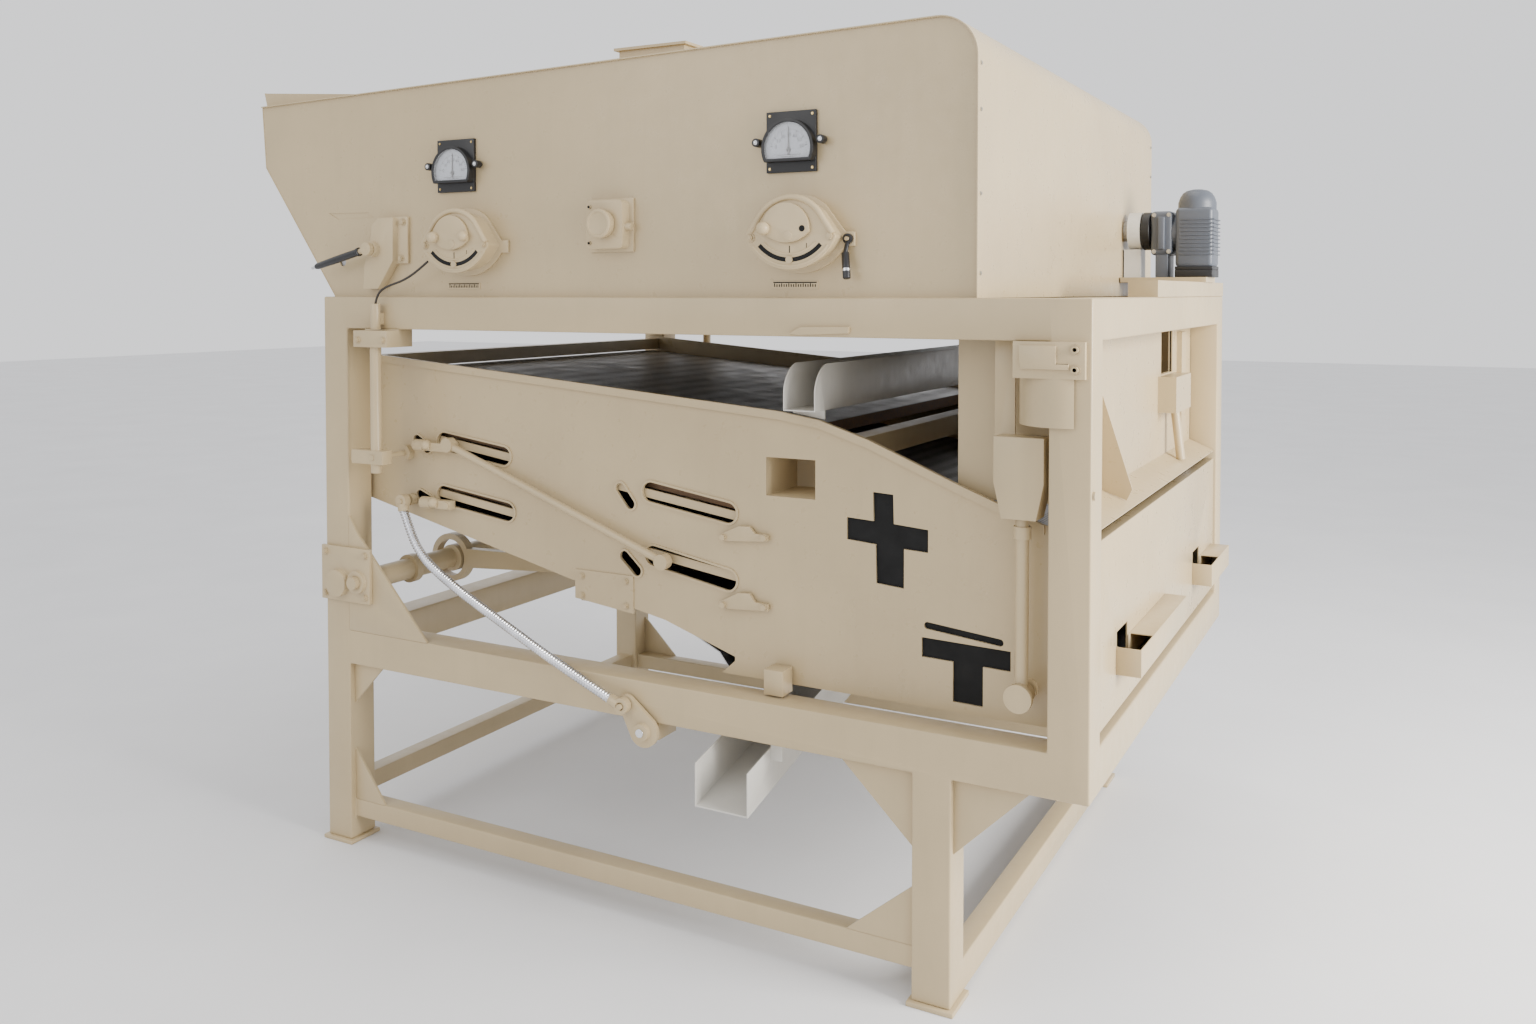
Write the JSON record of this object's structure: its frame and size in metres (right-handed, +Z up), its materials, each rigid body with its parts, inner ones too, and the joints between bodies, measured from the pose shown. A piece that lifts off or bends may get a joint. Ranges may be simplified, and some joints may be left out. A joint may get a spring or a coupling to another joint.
{
  "type": "air-screen seed cleaner",
  "caption": "Air-screen seed cleaner: tube frame, aspiration head with hopper, gauges and dampers, hanging shaker shoe with sloped screens, outlets, crank drive and flexible link.",
  "frame": {"origin": "centre of the bounding box at floor level", "axes": "+X along the machine from the feed hopper to the outlets, +Y from the operator's side to the rear, +Z up"},
  "size_m": [2.808, 2.12, 2.49],
  "materials": {
    "satin_beige_paint": "satin enamel, slightly orange-peeled",
    "white_paint": "gloss enamel",
    "grey_paint": "satin enamel",
    "grey_steel_paint": "worn satin enamel",
    "sheet_steel": "bare galvanised sheet, dusty",
    "cast_pulley": "turned cast iron",
    "black_plastic": "moulded, semi-matte",
    "black_grip": "ribbed grip",
    "dial_face": "printed dial",
    "needle_paint": "matt",
    "clear_lens": "clear",
    "cable_sheath": "smooth sheath",
    "belt_rubber": "cord-faced V-belt",
    "black_rubber": "matt sheet",
    "hose_armour": "interlocked armoured hose",
    "screen_wood": "oiled hardwood",
    "brush_bristle": "nylon bristle"
  },
  "bodies": {
    "machine": {"frame_posts": "satin_beige_paint", "frame_rails": "satin_beige_paint", "foot_plates": "satin_beige_paint", "support_beams": "satin_beige_paint", "gussets": "satin_beige_paint", "shaft_bearings": "satin_beige_paint", "head_panels": "satin_beige_paint", "head_roof": "satin_beige_paint", "hopper_wall": "satin_beige_paint", "roof_collar": "satin_beige_paint", "head_partitions": "sheet_steel", "air_duct": "satin_beige_paint", "end_shield": "satin_beige_paint", "gauge_cases": "black_plastic", "gauge_dials": "dial_face", "gauge_lenses": "clear_lens", "damper_quadrants": "satin_beige_paint", "control_boxes": "satin_beige_paint", "small_plates": "satin_beige_paint", "control_cable": "cable_sheath", "frame_brackets": "satin_beige_paint", "gearmotor": "grey_paint", "auger_bearing": "white_paint", "drive_motors": "grey_paint", "drive_belt": "belt_rubber", "lower_spout": "grey_steel_paint", "frame_bolts": "satin_beige_paint"},
    "needle_left": {"gauge_needle_left": "needle_paint"},
    "needle_right": {"gauge_needle_right": "needle_paint"},
    "damper_left": {"damper_left": "satin_beige_paint"},
    "damper_right": {"damper_right": "satin_beige_paint"},
    "lock_lever": {"lock_lever": "black_grip"},
    "feed_lever": {"feed_lever": "satin_beige_paint", "feed_lever_grip": "black_grip"},
    "speed_knob": {"speed_knob": "satin_beige_paint"},
    "conveyor": {"auger": "sheet_steel", "shaft_coupling": "black_plastic"},
    "feed_roll": {"feed_roll": "sheet_steel"},
    "cross_shaft": {"eccentric_shaft": "satin_beige_paint", "drive_pulley": "cast_pulley"},
    "motor_rotor": {"motor_pulley": "cast_pulley"},
    "shoe": {"shoe_sides": "satin_beige_paint", "shoe_end_panel": "satin_beige_paint", "outlet_troughs": "satin_beige_paint", "shoe_supports": "satin_beige_paint", "shoe_pan": "sheet_steel", "screen_frames": "screen_wood", "screens": "sheet_steel", "cutout_seals": "black_rubber", "scalping_chute": "grey_steel_paint", "shoe_fittings": "satin_beige_paint", "shoe_bolts": "satin_beige_paint", "pitmans": "satin_beige_paint"},
    "brush_carriage": {"brush_carriage": "satin_beige_paint", "brushes": "brush_bristle"},
    "left_hangers": {"left_hangers": "satin_beige_paint"},
    "right_hangers": {"right_hangers": "satin_beige_paint"},
    "hose_link": {"hose": "hose_armour", "hose_ends": "satin_beige_paint"},
    "rocker_arm": {"rocker_arm": "satin_beige_paint"}
  },
  "joints": [
    {"name": "shoe_shake", "type": "slide", "parent": "machine", "child": "shoe", "axis": [1, 0, 0], "range_m": [-0.008, 0.008]},
    {"name": "left_hangers_swing", "type": "hinge", "parent": "machine", "child": "left_hangers", "pos_m": [-0.839, -0.019, 1.608], "axis": [0, 1, 0], "range_deg": [-1.29, 1.29]},
    {"name": "right_hangers_swing", "type": "hinge", "parent": "machine", "child": "right_hangers", "pos_m": [1.176, -0.019, 1.355], "axis": [0, 1, 0], "range_deg": [-0.83, 0.83]},
    {"name": "hose_tilt", "type": "hinge", "parent": "shoe", "child": "hose_link", "pos_m": [-0.815, -0.92, 1.1], "axis": [0, 1, 0], "range_deg": [-0.76, 0.76]},
    {"name": "arm_rock", "type": "hinge", "parent": "machine", "child": "rocker_arm", "pos_m": [0.14, -0.93, 0.555], "axis": [0, 1, 0], "range_deg": [-12.21, 12.21]},
    {"name": "brush_travel", "type": "slide", "parent": "shoe", "child": "brush_carriage", "axis": [0.9903, 0, -0.1392], "range_m": [-0.02, 0.02]},
    {"name": "cross_shaft_spin", "type": "hinge", "parent": "machine", "child": "cross_shaft", "pos_m": [-0.938, -0.019, 0.845], "axis": [0, 1, 0], "continuous": true},
    {"name": "motor_spin", "type": "hinge", "parent": "machine", "child": "motor_rotor", "pos_m": [-0.388, 0.72, 0.806], "axis": [0, 1, 0], "continuous": true},
    {"name": "feed_roll_spin", "type": "hinge", "parent": "machine", "child": "feed_roll", "pos_m": [-1.028, -0.019, 1.85], "axis": [0, 1, 0], "continuous": true},
    {"name": "conveyor_spin", "type": "hinge", "parent": "machine", "child": "conveyor", "pos_m": [0.212, 0.62, 1.965], "axis": [1, 0, 0], "continuous": true},
    {"name": "damper_left_turn", "type": "hinge", "parent": "machine", "child": "damper_left", "pos_m": [-0.503, -0.98, 1.895], "axis": [0, 1, 0], "range_deg": [-40, 40]},
    {"name": "damper_right_turn", "type": "hinge", "parent": "machine", "child": "damper_right", "pos_m": [0.602, -0.98, 1.895], "axis": [0, 1, 0], "range_deg": [-40, 40]},
    {"name": "lock_lever_turn", "type": "hinge", "parent": "machine", "child": "lock_lever", "pos_m": [0.739, -0.971, 1.888], "axis": [0, 1, 0], "range_deg": [-20, 20]},
    {"name": "feed_lever_turn", "type": "hinge", "parent": "machine", "child": "feed_lever", "pos_m": [-0.862, -0.98, 1.887], "axis": [0, 1, 0], "range_deg": [-25, 20]},
    {"name": "speed_knob_turn", "type": "hinge", "parent": "machine", "child": "speed_knob", "pos_m": [0.013, -1.01, 1.942], "axis": [0, 1, 0], "range_deg": [-140, 140]},
    {"name": "needle_left_turn", "type": "hinge", "parent": "machine", "child": "needle_left", "pos_m": [-0.548, -0.978, 2.109], "axis": [0, 1, 0], "range_deg": [-45, 45]},
    {"name": "needle_right_turn", "type": "hinge", "parent": "machine", "child": "needle_right", "pos_m": [0.576, -0.978, 2.117], "axis": [0, 1, 0], "range_deg": [-45, 45]}
  ],
  "couplings": [
    {"joint": "left_hangers_swing", "follows": "shoe_shake", "rad_per_m": -2.7624},
    {"joint": "right_hangers_swing", "follows": "shoe_shake", "rad_per_m": -1.7857},
    {"joint": "hose_tilt", "follows": "shoe_shake", "rad_per_m": -1.627},
    {"joint": "arm_rock", "follows": "shoe_shake", "rad_per_m": 26.119},
    {"joint": "motor_spin", "follows": "cross_shaft_spin", "ratio": 2.56}
  ]
}
